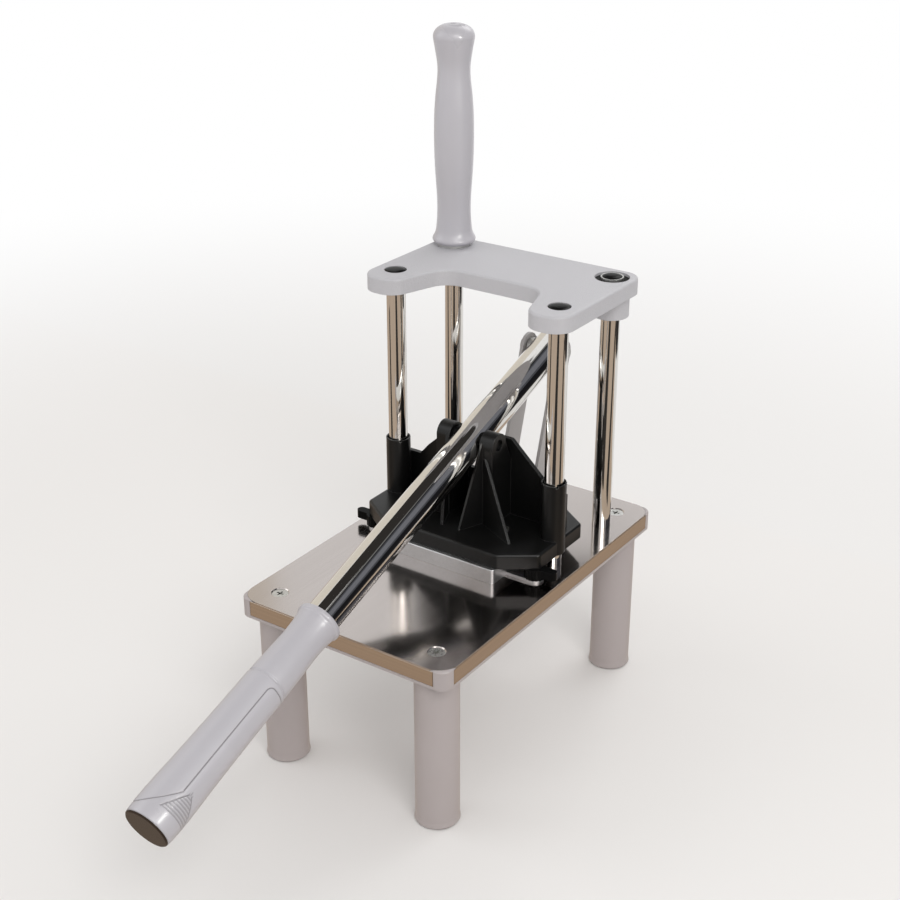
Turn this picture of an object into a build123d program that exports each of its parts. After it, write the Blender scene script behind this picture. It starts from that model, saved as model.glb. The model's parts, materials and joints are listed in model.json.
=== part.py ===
import os
from math import atan2, cos, degrees, radians, sin

from build123d import *

os.makedirs("parts", exist_ok=True)

# A hand-lever fry cutter. Millimetres; x runs across the base, y from the grip end to the
# back, z up from the table. The origin is on the table, midway between the four feet.

# Clearances
running_gap = 0.05       # radial, a turning or sliding pin in its bore
side_gap = 0.3           # between faces that move past each other
seat_gap = 0.15          # around a piece that is laid into its seat

# Base
base_width = 200.0
base_length = 319.0
base_top = 152.8         # upper face of the cover above the table
base_edge = 16.8         # height of the base's side
sheet = 1.2              # cover's stainless sheet
cover_corner = 17.0      # plan radius of the cover's corners
strip_height = 13.0
strip_thickness = 1.2
corner_post = 11.0       # length of bare post along each side at a corner
post_round = 9.0
post_edge_round = 1.6
frame_wall = 3.0
frame_deck = 4.0

# Legs
leg_inset_x = 23.7       # from the base's side to a leg's axis
leg_inset_y = 22.7
leg_radius = 17.6
leg_lip_radius = 18.2
leg_lip_height = 5.0
leg_wall = 3.2
leg_cap_height = 24.0    # solid top of a leg, which takes the insert
pad_height = 0.8
pad_margin = 2.2         # how far a pad stays inside its leg's foot
pad_plug_height = 8.0
insert_radius = 4.2
insert_length = 20.0
leg_screw_radius = 3.0
leg_screw_length = 32.0
leg_screw_head_radius = 6.5
countersink_radius = 7.3
cross_length = 6.4
cross_width = 1.5
cross_depth = 2.2
leg_boss_radius = 18.4

# Columns
column_radius = 8.0
front_column_inset = 22.3
back_column_inset = 22.9
back_column_end = 50.6   # from the base's back end to a back column's axis
column_pitch = 83.1      # front column to back column
column_seat_depth = 6.8  # how far a column goes below the cover's upper face
column_web = 3.0
column_boss_radius = 12.0
column_bolt_radius = 3.3
column_bolt_length = 26.0
bolt_head_radius = 6.5
bolt_head_height = 4.6
washer_radius = 8.0
washer_thickness = 1.5

# Top plate
top_plate_top = 377.4
top_plate_thickness = 13.6
top_plate_edge_round = 2.0
top_plate_front_corner = 16.5
top_plate_back_corner = 15.0
top_plate_side_margin = 18.3
top_plate_front_margin = 25.0
top_plate_back_margin = 19.8
back_bar_reach = 56.2    # from the back columns to the front edge of the plate's back bar
lobe_inner_margin = 15.2 # from a front column's axis to its lobe's inner corner
opening_taper = 16.5     # how much the opening narrows on each side towards the bar
inner_round = 20.0
column_socket_depth = 5.6
boss_radius = 14.8
boss_height = 18.8
cap_radius = 9.1
cap_height = 2.6
cap_dome = 1.1
cap_seat_depth = 3.2
top_screw_radius = 2.5
top_screw_length = 24.0
top_screw_head_radius = 4.5
top_screw_head_height = 2.2
top_screw_web = 2.2      # plate left between a column and its screw's head
recess_radius = 14.3
recess_depth = 3.0
socket_washer_thickness = 0.8
collar_radius = 9.4
collar_proud = 0.6
plug_radius = 8.2
plug_dome = 1.4

# Upright handle
handle_length = 180.9
handle_washer_height = 2.0
handle_washer_radius = 14.2
handle_rod_radius = 5.0
handle_rod_cover = 15.3  # plastic above the rod's end
handle_foot_radius = 15.8
handle_flange_radius = 18.4
handle_waist_radius = 14.3
handle_belly_radius = 16.6
handle_neck_radius = 13.5
handle_knob_radius = 16.9

# Blade frame and blades
cells = 9
cell_pitch = 10.0
blade_thickness = 0.6
blade_height = 5.4
blade_rise = 0.5         # lower strips above the cover
blade_layer_gap = 0.4
blade_seat = 5.0         # length of each strip's end held in the frame
blade_frame_side = 113.5
blade_frame_height = 12.7
blade_frame_corner = 3.0
blade_frame_margin = 0.3 # extra room between the outer cells and the frame
lug_thickness = 2.5
lug_radius = 7.0
fry_opening_side = 94.0
chute_wall = 3.0
tension_screw_radius = 1.5
tension_screw_head_radius = 2.6

# Wing knobs
knob_inset = 20.0        # from the base's side to a knob's axis
knob_ahead = 29.8        # in front of the front columns
knob_radius = 8.8
knob_flutes = 18
knob_flute_radius = 0.7
knob_clearance = 0.4     # below the carriage at rest
wing_reach = 19.9
wing_width = 8.0
stud_radius = 3.0
knob_insert_radius = 4.6
nut_radius = 5.2
nut_height = 4.0
wing_rise = 2.4

# Carriage
flange_side_margin = 8.3 # flange beyond the front columns' axes
flange_half_y = 53.3
flange_chamfer_x = 29.0
flange_chamfer_y = 20.3
flange_height = 13.0
flange_corner_round = 4.5
flange_edge_round = 2.2
sleeve_radius = 10.4
sleeve_top = 228.0
rim_notch_width = 2.0
rim_notch_depth = 1.6
bush_wall = 1.05
bush_length = 13.0
bush_sink = 2.0          # how far a bush stays below its sleeve's rim
ear_inner_x = 14.9
ear_outer_x = 27.5
ear_radius = 10.0
wall_behind = 14.2       # from the front columns' axes back to the rear wall
wall_thickness = 4.0
wall_notch_z = 211.0     # floor of the lever's notch between the ears
wall_peak_drop = 1.4     # top of the wall, below the pivot
wall_mid_drop = 27.9     # its shoulders, below the pivot
wall_low_drop = 38.4
wall_mid_inset = 21.7    # the same shoulders, inside the front columns' axes
wall_low_inset = 12.7
rib_thickness = 2.4
inner_rib_x = 17.0
inner_rib_foot_x = 8.5
inner_rib_reach = 30.5   # in front of the pivot
inner_rib_rise = 3.0     # above the pivot
outer_rib_x = 21.2
outer_rib_foot_inset = 0.7
outer_rib_reach = 27.3
outer_rib_drop = 10.0    # below the pivot
gusset_width = 5.0
push_plate_side = 97.0
push_plate_thickness = 6.0
push_plate_recess = 0.3
peg_side = 8.6
peg_length = 12.0
push_screw_radius = 2.0
push_screw_head_radius = 4.0
push_screw_head_height = 2.4
push_screw_x = 40.0
push_screw_ahead = 13.8  # front screws, in front of the front columns' axes
push_screw_behind = 34.2

# Lever
pivot_z = 248.4
pivot_ahead = 4.3        # in front of the front columns' axes
lever_slope = 19.7       # degrees, back end up
lever_radius = 14.0
lever_sag = 1.8          # how far the tube's middle is below its pins
lever_wall = 1.5
link_pin_distance = 122.0
lever_tail = 11.0        # tube behind the link pin
grip_start = 213.5       # from the pivot, towards the user
grip_end = 415.5
grip_cap_thickness = 3.0
grip_collar_radius = 18.3
grip_neck_radius = 15.4
grip_step = 277.5        # from the pivot to the groove between neck and body
grip_groove_radius = 16.0
grip_body_radius = 17.0
grip_bulb_radius = 19.1
grip_cap_radius = 18.0
ear_pin_radius = 5.0
ear_pin_sink = 2.1       # pin's ends below the ears' outer faces
pivot_bush_radius = 7.5
tail_plug_proud = 2.0
tail_plug_depth = 3.0

# Links
link_pivot_behind = 75.2 # behind the front columns' axes
link_pivot_z = 168.0
link_width = 22.4
link_thickness = 3.0
link_inner_x = 15.7
link_pin_radius = 4.0
link_bolt_head_radius = 6.4
link_bolt_head_height = 3.2
bolt_stub = 0.7          # upper bolt's end inside the link

# Link bracket
bracket_base_thickness = 3.0
bracket_half_x = 31.0
bracket_half_y = 15.0
bracket_lug_thickness = 3.0
bracket_lug_radius = 10.0
bracket_bolt_x = 25.0
bracket_bolt_y = 8.5
bracket_bolt_radius = 2.5
bracket_bolt_head_radius = 4.4
bracket_bolt_head_height = 2.6

# Places across and along the base
leg_x = base_width / 2 - leg_inset_x
leg_y = base_length / 2 - leg_inset_y
front_column_x = base_width / 2 - front_column_inset
back_column_x = base_width / 2 - back_column_inset
back_column_y = base_length / 2 - back_column_end
front_column_y = back_column_y - column_pitch
inner_edge_y = back_column_y - back_bar_reach
lobe_inner_x = front_column_x - lobe_inner_margin
inner_half_width = lobe_inner_x - opening_taper
knob_x = base_width / 2 - knob_inset
knob_y = front_column_y - knob_ahead
pivot_y = front_column_y - pivot_ahead
wall_y = front_column_y + wall_behind
link_pivot_y = front_column_y + link_pivot_behind

# Heights that follow
frame_top = base_top - sheet
frame_bottom = base_top - base_edge
lip_height = base_edge - sheet - strip_height - 2 * seat_gap
leg_top = frame_bottom
plate_bottom = top_plate_top - top_plate_thickness
column_bottom = base_top - column_seat_depth
column_top = plate_bottom + column_socket_depth
top_screw_seat = column_top + top_screw_web
blade_frame_top = base_top + blade_frame_height
flange_bottom = blade_frame_top
flange_top = flange_bottom + flange_height
lug_top = base_top + lug_thickness
knob_top = flange_bottom - knob_clearance
grid_side = cells * cell_pitch
blade_opening = grid_side + 2 * blade_frame_margin
bush_radius = column_radius + running_gap + bush_wall

# Places of repeated pieces
leg_places = [(x * leg_x, y * leg_y) for x in (-1, 1) for y in (-1, 1)]
front_places = [(-front_column_x, front_column_y), (front_column_x, front_column_y)]
back_left_place = (-back_column_x, back_column_y)
back_right_place = (back_column_x, back_column_y)
column_places = front_places + [back_left_place, back_right_place]
top_screw_places = front_places + [back_right_place]
knob_places = [(-knob_x, knob_y), (knob_x, knob_y)]
grid_centre = (0, front_column_y)
bracket_bolt_places = [
    (x * bracket_bolt_x, link_pivot_y + y * bracket_bolt_y) for x in (-1, 1) for y in (-1, 1)
]
push_screw_places = [
    (x * push_screw_x, front_column_y + y)
    for x in (-1, 1)
    for y in (-push_screw_ahead, push_screw_behind)
]

# Directions
pivot = Vector(0, pivot_y, pivot_z)
slope = radians(lever_slope)
tube_middle = pivot + Vector(0, sin(slope), -cos(slope)) * lever_sag
lever_axis = Axis(tube_middle, (0, cos(slope), sin(slope)))
# local x is the distance from the pivot towards the grip, local y is the radius
lever_profile = Plane(origin=tube_middle, x_dir=(0, -cos(slope), -sin(slope)), z_dir=(1, 0, 0))
link_pivot = Vector(0, link_pivot_y, link_pivot_z)
link_top = pivot + Vector(0, cos(slope), sin(slope)) * link_pin_distance
link_length = (link_top - link_pivot).length
link_lean = atan2(link_top.Y - link_pivot.Y, link_top.Z - link_pivot.Z)


def keep(builder, name):
    builder.part.label = name
    export_step(builder.part, f"parts/{name}.step")


def upright(place):
    """Plane whose local x is outwards and whose local y is up, on a vertical axis."""
    return Plane(origin=(place[0], place[1], 0), x_dir=(1, 0, 0), z_dir=(0, -1, 0))


def level(height):
    return Plane.XY.offset(height)


def side(x):
    """Plane across x, with local x along y and local y up."""
    return Plane(origin=(x, 0, 0), x_dir=(0, 1, 0), z_dir=(1, 0, 0))


def countersinks(builder_places, mode=Mode.SUBTRACT):
    """Cone cut from the cover's upper face down to the screw's clearance hole."""
    with Locations(*[(x, y, base_top) for x, y in builder_places]):
        Cone(
            leg_screw_radius + seat_gap,
            countersink_radius,
            countersink_radius - leg_screw_radius - seat_gap,
            align=(Align.CENTER, Align.CENTER, Align.MAX),
            mode=mode,
        )
        Cylinder(
            leg_screw_radius + seat_gap,
            base_edge + seat_gap,
            align=(Align.CENTER, Align.CENTER, Align.MAX),
            mode=mode,
        )


# Cover: a flat sheet that drops between the four corner posts
with BuildPart() as top_cover:
    with BuildSketch(level(frame_top)):
        RectangleRounded(base_width, base_length, cover_corner)
    extrude(amount=sheet)
    with BuildSketch(level(frame_top)):
        with Locations(grid_centre):
            Rectangle(fry_opening_side, fry_opening_side)
        with Locations(*column_places):
            Circle(column_radius + seat_gap)
        with Locations(*knob_places):
            Circle(stud_radius + seat_gap)
        with Locations(*bracket_bolt_places):
            Circle(bracket_bolt_radius + seat_gap)
    extrude(amount=sheet, mode=Mode.SUBTRACT)
    countersinks(leg_places)
keep(top_cover, "top_cover")

# Base frame: tray under the cover, with a post at each corner and a lip under the strips
strip_bottom = frame_bottom + lip_height + seat_gap
strip_top = strip_bottom + strip_height
strip_depth = strip_thickness + seat_gap
inside_width = base_width - 2 * (strip_depth + frame_wall)
inside_length = base_length - 2 * (strip_depth + frame_wall)
deck_bottom = frame_top - frame_deck
column_seat_bottom = column_bottom - column_web
with BuildPart() as base_frame:
    with BuildSketch(level(frame_bottom)):
        RectangleRounded(base_width, base_length, post_round)
    extrude(amount=base_edge)
    fillet(base_frame.faces().sort_by(Axis.Z)[-1].edges(), radius=post_edge_round)
    with BuildSketch(level(frame_top)):
        RectangleRounded(base_width + 2 * seat_gap, base_length + 2 * seat_gap, cover_corner + seat_gap)
    extrude(amount=2 * sheet, mode=Mode.SUBTRACT)
    with BuildSketch(level(frame_bottom)):
        RectangleRounded(inside_width, inside_length, post_round - frame_wall)
    extrude(amount=deck_bottom - frame_bottom, mode=Mode.SUBTRACT)
    with BuildSketch(level(frame_bottom)):
        with Locations(*leg_places):
            Circle(leg_boss_radius)
        with Locations(grid_centre):
            Rectangle(fry_opening_side + 2 * chute_wall, fry_opening_side + 2 * chute_wall)
    extrude(amount=deck_bottom - frame_bottom)
    with BuildSketch(level(column_seat_bottom)):
        with Locations(*column_places):
            Circle(column_boss_radius)
    extrude(amount=deck_bottom - column_seat_bottom)
    with BuildSketch(level(frame_bottom + lip_height)):
        for x in (-1, 1):
            with Locations((x * base_width / 2, 0)):
                Rectangle(2 * strip_depth, base_length - 2 * corner_post)
        for y in (-1, 1):
            with Locations((0, y * base_length / 2)):
                Rectangle(base_width - 2 * corner_post, 2 * strip_depth)
    extrude(amount=frame_top - frame_bottom - lip_height, mode=Mode.SUBTRACT)
    with BuildSketch(level(column_bottom)):
        with Locations(*column_places):
            Circle(column_radius)
    extrude(amount=base_edge, mode=Mode.SUBTRACT)
    with BuildSketch(level(frame_bottom)):
        with Locations(grid_centre):
            Rectangle(fry_opening_side, fry_opening_side)
        with Locations(*column_places):
            Circle(column_bolt_radius + seat_gap)
        with Locations(*knob_places):
            Circle(stud_radius + seat_gap)
        with Locations(*bracket_bolt_places):
            Circle(bracket_bolt_radius + seat_gap)
    extrude(amount=base_edge, mode=Mode.SUBTRACT)
    countersinks(leg_places)
keep(base_frame, "base_frame")


# Side strips: one polished strip between each pair of corner posts
def side_strip(name, length, plane):
    with BuildPart() as strip:
        with BuildSketch(plane):
            Rectangle(length, strip_height)
        extrude(amount=strip_thickness)
        fillet(strip.faces().sort_by(Axis(plane.origin, plane.z_dir))[-1].edges(), radius=0.4)
    keep(strip, name)


strip_middle = strip_bottom + strip_height / 2
strip_x = base_width / 2 - strip_thickness
strip_y = base_length / 2 - strip_thickness
long_strip = base_length - 2 * corner_post - 2 * seat_gap
short_strip = base_width - 2 * corner_post - 2 * seat_gap
side_strip("front_strip", short_strip, Plane((0, -strip_y, strip_middle), (1, 0, 0), (0, -1, 0)))
side_strip("back_strip", short_strip, Plane((0, strip_y, strip_middle), (-1, 0, 0), (0, 1, 0)))
side_strip("left_strip", long_strip, Plane((-strip_x, 0, strip_middle), (0, -1, 0), (-1, 0, 0)))
side_strip("right_strip", long_strip, Plane((strip_x, 0, strip_middle), (0, 1, 0), (1, 0, 0)))

# Legs: plastic tubes with a solid top, each on a rubber pad
leg_names = ["front_left", "back_left", "front_right", "back_right"]
for leg_name, place in zip(leg_names, leg_places):
    with BuildPart() as leg:
        with BuildSketch(upright(place)):
            with BuildLine():
                Polyline(
                    (0, leg_top),
                    (leg_radius, leg_top),
                    (leg_radius, pad_height + leg_lip_height),
                    (leg_lip_radius, pad_height + 1),
                    (leg_lip_radius - 0.6, pad_height),
                    (leg_radius - leg_wall, pad_height),
                    (leg_radius - leg_wall, leg_top - leg_cap_height),
                    (0, leg_top - leg_cap_height),
                    close=True,
                )
            make_face()
        revolve(axis=Axis((place[0], place[1], 0), (0, 0, 1)))
        with Locations((place[0], place[1], leg_top)):
            Cylinder(
                insert_radius,
                insert_length,
                align=(Align.CENTER, Align.CENTER, Align.MAX),
                mode=Mode.SUBTRACT,
            )
    keep(leg, f"{leg_name}_leg")

with BuildPart() as leg_inserts:
    with Locations(*[(x, y, leg_top) for x, y in leg_places]):
        Cylinder(insert_radius, insert_length, align=(Align.CENTER, Align.CENTER, Align.MAX))
        Cylinder(
            leg_screw_radius,
            insert_length,
            align=(Align.CENTER, Align.CENTER, Align.MAX),
            mode=Mode.SUBTRACT,
        )
keep(leg_inserts, "leg_inserts")

with BuildPart() as foot_pads:
    with Locations(*[(x, y, 0) for x, y in leg_places]):
        Cylinder(
            leg_lip_radius - pad_margin, pad_height, align=(Align.CENTER, Align.CENTER, Align.MIN)
        )
        Cylinder(
            leg_radius - leg_wall,
            pad_height + pad_plug_height,
            align=(Align.CENTER, Align.CENTER, Align.MIN),
        )
keep(foot_pads, "foot_pads")

# Leg screws: countersunk, from the cover down into the leg inserts
screw_head_drop = countersink_radius - leg_screw_head_radius
with BuildPart() as leg_screws:
    with Locations(*[(x, y, base_top - screw_head_drop) for x, y in leg_places]):
        Cone(
            leg_screw_radius,
            leg_screw_head_radius,
            leg_screw_head_radius - leg_screw_radius,
            align=(Align.CENTER, Align.CENTER, Align.MAX),
        )
        Cylinder(
            leg_screw_radius, leg_screw_length, align=(Align.CENTER, Align.CENTER, Align.MAX)
        )
        Box(
            cross_length,
            cross_width,
            cross_depth,
            align=(Align.CENTER, Align.CENTER, Align.MAX),
            mode=Mode.SUBTRACT,
        )
        Box(
            cross_width,
            cross_length,
            cross_depth,
            align=(Align.CENTER, Align.CENTER, Align.MAX),
            mode=Mode.SUBTRACT,
        )
keep(leg_screws, "leg_screws")

# Columns: chromed rods drilled at both ends
column_names = ["front_left", "front_right", "back_left", "back_right"]
for column_name, place in zip(column_names, column_places):
    with BuildPart() as column:
        with Locations((place[0], place[1], column_bottom)):
            Cylinder(
                column_radius,
                column_top - column_bottom,
                align=(Align.CENTER, Align.CENTER, Align.MIN),
            )
            Cylinder(
                column_bolt_radius,
                column_bolt_length,
                align=(Align.CENTER, Align.CENTER, Align.MIN),
                mode=Mode.SUBTRACT,
            )
        with Locations((place[0], place[1], column_top)):
            Cylinder(
                handle_rod_radius if column_name == "back_left" else top_screw_radius,
                top_screw_length,
                align=(Align.CENTER, Align.CENTER, Align.MAX),
                mode=Mode.SUBTRACT,
            )
    keep(column, f"{column_name}_column")

column_bolt_seat = column_seat_bottom - washer_thickness
with BuildPart() as column_bolts:
    with Locations(*[(x, y, column_bolt_seat) for x, y in column_places]):
        Cylinder(
            column_bolt_radius, column_bolt_length, align=(Align.CENTER, Align.CENTER, Align.MIN)
        )
    with BuildSketch(level(column_bolt_seat)):
        with Locations(*column_places):
            RegularPolygon(bolt_head_radius, 6)
    extrude(amount=-bolt_head_height)
keep(column_bolts, "column_bolts")

with BuildPart() as column_washers:
    with BuildSketch(level(column_bolt_seat)):
        with Locations(*column_places):
            Circle(washer_radius)
            Circle(column_bolt_radius + seat_gap, mode=Mode.SUBTRACT)
    extrude(amount=washer_thickness)
keep(column_washers, "column_washers")

# Top plate: a broad back bar with an arm forward to each front column
plate_half = front_column_x + top_plate_side_margin
plate_front = front_column_y - top_plate_front_margin
plate_back = back_column_y + top_plate_back_margin
with BuildPart() as top_plate:
    with BuildSketch(level(plate_bottom)) as plate_outline:
        with BuildLine():
            Polyline(
                (-plate_half, plate_front),
                (-lobe_inner_x, plate_front),
                (-inner_half_width, inner_edge_y),
                (inner_half_width, inner_edge_y),
                (lobe_inner_x, plate_front),
                (plate_half, plate_front),
                (plate_half, plate_back),
                (-plate_half, plate_back),
                close=True,
            )
        make_face()
        fillet(plate_outline.vertices().group_by(Axis.Y)[-1], radius=top_plate_back_corner)
        fillet(
            plate_outline.vertices().filter_by_position(
                Axis.Y, plate_front - seat_gap, plate_front + seat_gap
            ),
            radius=top_plate_front_corner,
        )
        fillet(
            plate_outline.vertices().filter_by_position(
                Axis.Y, inner_edge_y - seat_gap, inner_edge_y + seat_gap
            ),
            radius=inner_round,
        )
    extrude(amount=top_plate_thickness)
    fillet(top_plate.faces().sort_by(Axis.Z)[-1].edges(), radius=top_plate_edge_round)
    with BuildSketch(level(plate_bottom)):
        with Locations(back_left_place, back_right_place):
            Circle(boss_radius)
    extrude(amount=-boss_height)
    fillet(top_plate.faces().sort_by(Axis.Z)[0:2].edges(), radius=0.8)
    with BuildSketch(level(column_top)):
        with Locations(*column_places):
            Circle(column_radius)
    extrude(amount=-top_plate_thickness - boss_height, mode=Mode.SUBTRACT)
    with BuildSketch(level(column_top)):
        with Locations(*front_places, back_right_place):
            Circle(top_screw_radius + seat_gap)
        with Locations(back_left_place):
            Circle(handle_rod_radius)
    extrude(amount=top_plate_thickness, mode=Mode.SUBTRACT)
    with BuildSketch(level(top_plate_top)):
        with Locations(*front_places):
            Circle(cap_radius + seat_gap)
    extrude(amount=-cap_seat_depth, mode=Mode.SUBTRACT)
    with BuildSketch(level(top_plate_top)):
        with Locations(back_right_place):
            Circle(recess_radius)
    extrude(amount=-recess_depth, mode=Mode.SUBTRACT)
    with BuildSketch(level(top_screw_seat)):
        with Locations(*top_screw_places):
            Circle(top_screw_head_radius + seat_gap)
    extrude(amount=top_plate_thickness, mode=Mode.SUBTRACT)
keep(top_plate, "top_plate")

with BuildPart() as top_screws:
    with Locations(*[(x, y, top_screw_seat) for x, y in top_screw_places]):
        Cylinder(
            top_screw_head_radius,
            top_screw_head_height,
            align=(Align.CENTER, Align.CENTER, Align.MIN),
        )
    with Locations(*[(x, y, column_top - top_screw_length) for x, y in top_screw_places]):
        Cylinder(
            top_screw_radius,
            top_screw_length + top_screw_seat - column_top,
            align=(Align.CENTER, Align.CENTER, Align.MIN),
        )
keep(top_screws, "top_screws")

# Caps over the front screws
with BuildPart() as column_caps:
    for place in front_places:
        with BuildSketch(upright(place)):
            with BuildLine():
                cap_floor = top_plate_top - cap_seat_depth
                Line((0, cap_floor), (cap_radius, cap_floor))
                Line((cap_radius, cap_floor), (cap_radius, cap_floor + cap_height))
                Spline(
                    (cap_radius, cap_floor + cap_height),
                    (cap_radius * 0.8, cap_floor + cap_height + cap_dome * 0.55),
                    (cap_radius * 0.45, cap_floor + cap_height + cap_dome * 0.88),
                    (0, cap_floor + cap_height + cap_dome),
                )
                Line((0, cap_floor + cap_height + cap_dome), (0, cap_floor))
            make_face()
        revolve(axis=Axis((place[0], place[1], 0), (0, 0, 1)))
keep(column_caps, "column_caps")

# Back right fitting: a dark washer, a bright collar and a domed plug
socket_floor = top_plate_top - recess_depth
with BuildPart() as socket_washer:
    with BuildSketch(level(socket_floor)):
        with Locations(back_right_place):
            Circle(recess_radius - seat_gap)
            Circle(collar_radius + seat_gap, mode=Mode.SUBTRACT)
    extrude(amount=socket_washer_thickness)
keep(socket_washer, "socket_washer")

with BuildPart() as socket_collar:
    with BuildSketch(level(socket_floor)):
        with Locations(back_right_place):
            Circle(collar_radius)
            Circle(plug_radius, mode=Mode.SUBTRACT)
    extrude(amount=recess_depth + collar_proud)
keep(socket_collar, "socket_collar")

with BuildPart() as socket_plug:
    with BuildSketch(upright(back_right_place)):
        with BuildLine():
            plug_edge = top_plate_top + collar_proud
            Line((0, socket_floor), (plug_radius, socket_floor))
            Line((plug_radius, socket_floor), (plug_radius, plug_edge))
            Spline(
                (plug_radius, plug_edge),
                (plug_radius * 0.8, plug_edge + plug_dome * 0.55),
                (plug_radius * 0.45, plug_edge + plug_dome * 0.88),
                (0, plug_edge + plug_dome),
            )
            Line((0, plug_edge + plug_dome), (0, socket_floor))
        make_face()
    revolve(axis=Axis((*back_right_place, 0), (0, 0, 1)))
keep(socket_plug, "socket_plug")

# Upright handle over the back left column
handle_foot = top_plate_top + handle_washer_height
handle_top = handle_foot + handle_length
handle_rod_top = handle_top - handle_rod_cover
with BuildPart() as handle_washer:
    with BuildSketch(level(top_plate_top)):
        with Locations(back_left_place):
            Circle(handle_washer_radius)
            Circle(handle_rod_radius + seat_gap, mode=Mode.SUBTRACT)
    extrude(amount=handle_washer_height)
keep(handle_washer, "handle_washer")

with BuildPart() as handle_rod:
    with Locations((*back_left_place, column_top - top_screw_length)):
        Cylinder(
            handle_rod_radius,
            handle_rod_top - column_top + top_screw_length,
            align=(Align.CENTER, Align.CENTER, Align.MIN),
        )
keep(handle_rod, "handle_rod")

with BuildPart() as upright_handle:
    with BuildSketch(upright(back_left_place)):
        with BuildLine():
            Polyline(
                (0, handle_foot),
                (handle_foot_radius - 1.2, handle_foot),
                (handle_foot_radius, handle_foot + 0.4),
                (handle_foot_radius + 1.4, handle_foot + 1.4),
            )
            Spline(
                (handle_foot_radius + 1.4, handle_foot + 1.4),
                (handle_flange_radius, handle_foot + 3.6),
                (handle_flange_radius - 1.6, handle_foot + 7.2),
                (handle_waist_radius + 0.7, handle_foot + 14.6),
                (handle_waist_radius, handle_foot + 0.13 * handle_length),
                (handle_belly_radius - 0.9, handle_foot + 0.334 * handle_length),
                (handle_belly_radius, handle_foot + 0.499 * handle_length),
                (handle_waist_radius + 0.7, handle_foot + 0.703 * handle_length),
                (handle_neck_radius, handle_foot + 0.819 * handle_length),
                (handle_neck_radius + 1.6, handle_foot + 0.885 * handle_length),
                (handle_knob_radius, handle_foot + 0.942 * handle_length),
            )
            Spline(
                (handle_knob_radius, handle_foot + 0.942 * handle_length),
                (handle_knob_radius - 0.9, handle_foot + 0.973 * handle_length),
                (handle_knob_radius - 5.0, handle_top - 0.9),
                (0, handle_top),
            )
            Line((0, handle_top), (0, handle_foot))
        make_face()
    revolve(axis=Axis((*back_left_place, 0), (0, 0, 1)))
    with Locations((*back_left_place, handle_foot)):
        Cylinder(
            handle_rod_radius,
            handle_rod_top - handle_foot,
            align=(Align.CENTER, Align.CENTER, Align.MIN),
            mode=Mode.SUBTRACT,
        )
keep(upright_handle, "upright_handle")

# Blade frame: square ring on the cover with a lug to each wing knob
half_side = blade_frame_side / 2
half_opening = blade_opening / 2
blade_length = blade_opening + 2 * blade_seat
blade_spots = [(i - (cells - 2) / 2) * cell_pitch for i in range(cells - 1)]
lower_blade_z = base_top + blade_rise
upper_blade_z = lower_blade_z + blade_height + blade_layer_gap
with BuildPart() as blade_frame:
    with BuildSketch(level(base_top)):
        with Locations(grid_centre):
            RectangleRounded(blade_frame_side, blade_frame_side, blade_frame_corner)
    extrude(amount=blade_frame_height)
    fillet(blade_frame.faces().sort_by(Axis.Z)[-1].edges(), radius=1.0)
    with BuildSketch(level(base_top)):
        for x in (-1, 1):
            lug_inner = half_side - blade_frame_corner
            lug_span = knob_x - lug_inner
            with Locations((x * (lug_inner + lug_span / 2), knob_y)):
                Rectangle(lug_span, 2 * lug_radius)
            with Locations((x * knob_x, knob_y)):
                Circle(lug_radius)
    extrude(amount=lug_thickness)
    with BuildSketch(level(base_top)):
        with Locations(grid_centre):
            Rectangle(blade_opening, blade_opening)
        with Locations(*knob_places):
            Circle(stud_radius + seat_gap)
    extrude(amount=blade_frame_height, mode=Mode.SUBTRACT)
    with BuildSketch(level(base_top)):
        for spot in blade_spots:
            with Locations((0, front_column_y + spot)):
                Rectangle(blade_length, blade_thickness)
    extrude(amount=blade_rise + blade_height, mode=Mode.SUBTRACT)
    with BuildSketch(level(upper_blade_z)):
        for spot in blade_spots:
            with Locations((spot, front_column_y)):
                Rectangle(blade_thickness, blade_length)
    extrude(amount=blade_frame_height, mode=Mode.SUBTRACT)
keep(blade_frame, "blade_frame")

with BuildPart() as lower_blades:
    with BuildSketch(level(lower_blade_z)):
        for spot in blade_spots:
            with Locations((0, front_column_y + spot)):
                Rectangle(blade_length, blade_thickness)
    extrude(amount=blade_height)
keep(lower_blades, "lower_blades")

with BuildPart() as upper_blades:
    with BuildSketch(level(upper_blade_z)):
        for spot in blade_spots:
            with Locations((spot, front_column_y)):
                Rectangle(blade_thickness, blade_length)
    extrude(amount=blade_height)
keep(upper_blades, "upper_blades")

# Link bracket: a foot on the cover with two lugs that hold the links' lower pin
bracket_top = base_top + bracket_base_thickness
lug_outer_x = link_inner_x - side_gap
with BuildPart() as link_bracket:
    with BuildSketch(level(base_top)):
        with Locations((0, link_pivot_y)):
            RectangleRounded(2 * bracket_half_x, 2 * bracket_half_y, 4.0)
        with Locations(*bracket_bolt_places):
            Circle(bracket_bolt_radius, mode=Mode.SUBTRACT)
    extrude(amount=bracket_base_thickness)
    for lug_x in (-lug_outer_x, lug_outer_x - bracket_lug_thickness):
        with BuildSketch(side(lug_x)):
            with Locations((link_pivot_y, link_pivot_z)):
                Circle(bracket_lug_radius)
            with Locations((link_pivot_y, base_top)):
                Rectangle(
                    2 * bracket_lug_radius,
                    link_pivot_z - base_top,
                    align=(Align.CENTER, Align.MIN),
                )
            with Locations((link_pivot_y, link_pivot_z)):
                Circle(link_pin_radius, mode=Mode.SUBTRACT)
        extrude(amount=bracket_lug_thickness)
keep(link_bracket, "link_bracket")

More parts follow.
